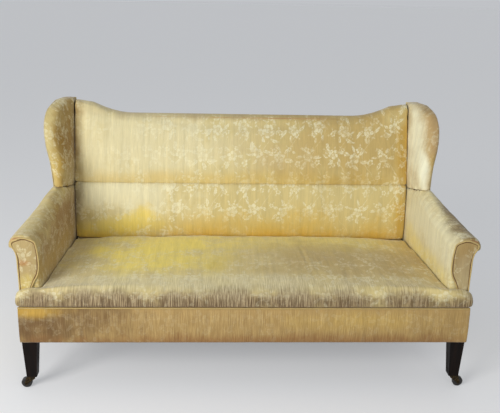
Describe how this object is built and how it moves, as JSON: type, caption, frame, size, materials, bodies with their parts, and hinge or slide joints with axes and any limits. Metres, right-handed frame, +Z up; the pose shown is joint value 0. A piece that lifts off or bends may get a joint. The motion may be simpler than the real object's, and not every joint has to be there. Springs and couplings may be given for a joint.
{
  "type": "high back settee",
  "caption": "High back upholstered settee with wings and scroll arms, a tight sprung seat and tapered legs on swivelling castors.",
  "frame": {"origin": "centre of the bounding box, on the floor under the castors", "axes": "+Z up, +X to the right as seen from in front, +Y towards the back, so the settee faces -Y"},
  "size_m": [1.844, 0.8729, 1.05],
  "materials": {
    "damask": "woven gold silk and cotton damask, worn and faded",
    "leg_wood": "dark stained and polished hardwood",
    "frame_wood": "sawn beech",
    "castor_metal": "aged dark brass",
    "castor_wheel": "aged dark brass",
    "spring_steel": "drawn copper-washed wire",
    "jute": "woven jute",
    "stuffing": "hair and fibre under scrim",
    "bottom_cloth": "plain black cotton"
  },
  "bodies": {
    "root": {"back_hessian": "jute", "back_left_post": "leg_wood", "back_rail": "frame_wood", "back_right_post": "leg_wood", "back_stuffing_rail": "frame_wood", "back_webbing": "jute", "bottom_cloth": "bottom_cloth", "castor_sockets": "castor_metal", "corner_blocks": "frame_wood", "front_border": "damask", "front_left_leg": "leg_wood", "front_rail": "frame_wood", "front_right_leg": "leg_wood", "inner_back_uprights": "frame_wood", "inside_back_lower": "damask", "inside_back_upper": "damask", "left_arm_board": "frame_wood", "left_arm_facing": "damask", "left_arm_rail": "frame_wood", "left_arm_stuffing_rail": "frame_wood", "left_inside_arm": "damask", "left_inside_wing": "damask", "left_outside_arm": "damask", "left_outside_wing": "damask", "left_side_rail": "frame_wood", "left_wing_board": "frame_wood", "outside_back": "damask", "right_arm_board": "frame_wood", "right_arm_facing": "damask", "right_arm_rail": "frame_wood", "right_arm_stuffing_rail": "frame_wood", "right_inside_arm": "damask", "right_inside_wing": "damask", "right_outside_arm": "damask", "right_outside_wing": "damask", "right_side_rail": "frame_wood", "right_wing_board": "frame_wood", "seat_cross_rails": "frame_wood", "seat_edge_roll": "stuffing", "seat_first_stuffing": "stuffing", "seat_hessian": "jute", "seat_pad": "damask", "seat_springs": "spring_steel", "seat_webbing": "jute", "top_back_rail": "frame_wood"},
    "front_left_fork": {"front_left_castor_fork": "castor_metal", "front_left_castor_axle": "castor_metal"},
    "front_left_wheel": {"front_left_castor_wheel": "castor_wheel"},
    "front_right_fork": {"front_right_castor_fork": "castor_metal", "front_right_castor_axle": "castor_metal"},
    "front_right_wheel": {"front_right_castor_wheel": "castor_wheel"},
    "back_left_fork": {"back_left_castor_fork": "castor_metal", "back_left_castor_axle": "castor_metal"},
    "back_left_wheel": {"back_left_castor_wheel": "castor_wheel"},
    "back_right_fork": {"back_right_castor_fork": "castor_metal", "back_right_castor_axle": "castor_metal"},
    "back_right_wheel": {"back_right_castor_wheel": "castor_wheel"}
  },
  "joints": [
    {"name": "front_left_swivel", "type": "hinge", "parent": "root", "child": "front_left_fork", "pos_m": [-0.856, -0.384, 0.051], "axis": [0, 0, 1], "continuous": true},
    {"name": "front_left_roll", "type": "hinge", "parent": "front_left_fork", "child": "front_left_wheel", "pos_m": [-0.881, -0.384, 0.021], "axis": [0, 1, 0], "continuous": true},
    {"name": "front_right_swivel", "type": "hinge", "parent": "root", "child": "front_right_fork", "pos_m": [0.856, -0.384, 0.051], "axis": [0, 0, 1], "continuous": true},
    {"name": "front_right_roll", "type": "hinge", "parent": "front_right_fork", "child": "front_right_wheel", "pos_m": [0.881, -0.384, 0.021], "axis": [0, 1, 0], "continuous": true},
    {"name": "back_left_swivel", "type": "hinge", "parent": "root", "child": "back_left_fork", "pos_m": [-0.7945, 0.371, 0.051], "axis": [0, 0, 1], "continuous": true},
    {"name": "back_left_roll", "type": "hinge", "parent": "back_left_fork", "child": "back_left_wheel", "pos_m": [-0.7945, 0.396, 0.021], "axis": [1, 0, 0], "continuous": true},
    {"name": "back_right_swivel", "type": "hinge", "parent": "root", "child": "back_right_fork", "pos_m": [0.7945, 0.371, 0.051], "axis": [0, 0, 1], "continuous": true},
    {"name": "back_right_roll", "type": "hinge", "parent": "back_right_fork", "child": "back_right_wheel", "pos_m": [0.7945, 0.396, 0.021], "axis": [1, 0, 0], "continuous": true}
  ]
}
